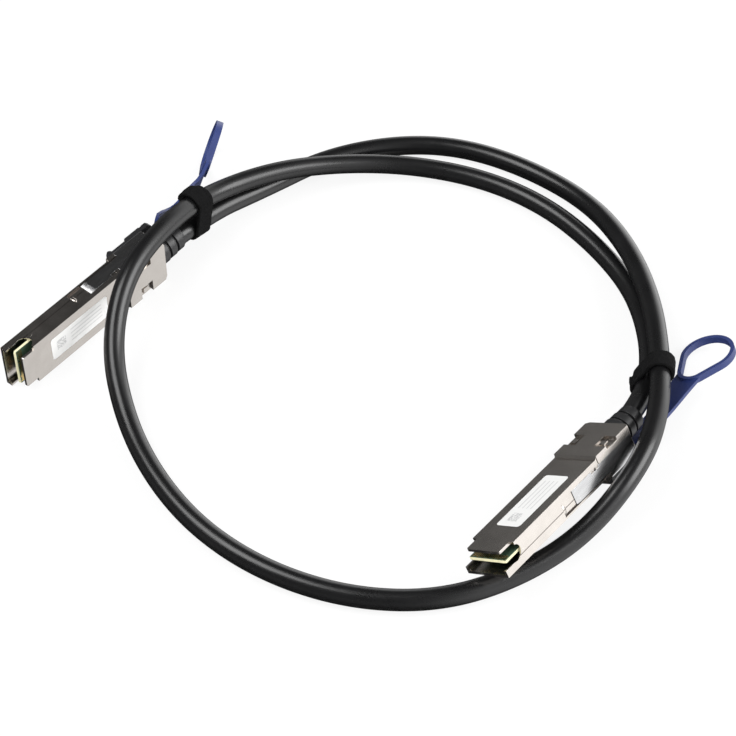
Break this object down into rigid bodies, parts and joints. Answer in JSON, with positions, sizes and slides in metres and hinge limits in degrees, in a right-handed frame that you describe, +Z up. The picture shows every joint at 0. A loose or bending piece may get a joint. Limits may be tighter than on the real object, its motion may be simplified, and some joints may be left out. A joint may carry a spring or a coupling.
{
  "type": "direct attach copper cable",
  "caption": "Round black twinax cable with a pluggable metal edge-card plug on each end, sprung release brackets with blue pull tabs, and hook-and-loop ties.",
  "frame": {"origin": "Bottom centre of the two plugs with their pull tabs, on the surface that the cable lies on.", "axes": "+X runs from the plugs' noses towards their cable ends, +Y from plug b to plug a, +Z up from the surface."},
  "size_m": [0.2137, 0.2284, 0.0288],
  "materials": {
    "plated_shell": "satin nickel plate on die-cast zinc, fine brushed grain",
    "card_laminate": "green solder mask over glass laminate, pale edge",
    "gold_contact": "gold plate",
    "black_chip": "moulded epoxy",
    "wire_shield": "foil-wrapped pairs",
    "ferrule_metal": "plain crimp metal",
    "black_moulding": "satin black elastomer",
    "steel_bracket": "stamped stainless sheet",
    "holder_moulding": "fine-textured black moulding",
    "blue_strap": "flexible moulded strap, semi-gloss",
    "spring_steel": "spring wire",
    "screw_steel": "zinc-plated steel",
    "white_label": "plain white polyester film",
    "cable_sheath": "semi-gloss black sheath",
    "tie_felt": "hook-and-loop felt"
  },
  "bodies": {
    "root": {"lower_shell_a": "plated_shell", "upper_shell_a": "plated_shell", "paddle_card_a": "card_laminate", "contact_pads_a": "gold_contact", "card_components_a": "black_chip", "twinax_pairs_a": "wire_shield", "crimp_ferrule_a": "ferrule_metal", "strain_relief_boot_a": "black_moulding", "return_springs_a": "spring_steel", "shell_screws_a": "screw_steel", "label_a": "white_label", "lower_shell_b": "plated_shell", "upper_shell_b": "plated_shell", "paddle_card_b": "card_laminate", "contact_pads_b": "gold_contact", "card_components_b": "black_chip", "twinax_pairs_b": "wire_shield", "crimp_ferrule_b": "ferrule_metal", "strain_relief_boot_b": "black_moulding", "return_springs_b": "spring_steel", "shell_screws_b": "screw_steel", "label_b": "white_label", "cable_jacket": "cable_sheath", "cable_tie_a": "tie_felt", "cable_tie_b": "tie_felt"},
    "slider_a": {"latch_slider_a": "steel_bracket", "tab_holder_a": "holder_moulding", "pull_tab_a": "blue_strap"},
    "slider_b": {"latch_slider_b": "steel_bracket", "tab_holder_b": "holder_moulding", "pull_tab_b": "blue_strap"}
  },
  "joints": [
    {"name": "release_slide_a", "type": "slide", "parent": "root", "child": "slider_a", "axis": [1, 0, 0], "range_m": [0, 0.0025], "stiffness_N_per_m": 500, "deforming": ["return_springs_a"]},
    {"name": "release_slide_b", "type": "slide", "parent": "root", "child": "slider_b", "axis": [0.9982, 0, -0.0593], "range_m": [0, 0.0025], "stiffness_N_per_m": 500, "deforming": ["return_springs_b"]}
  ]
}
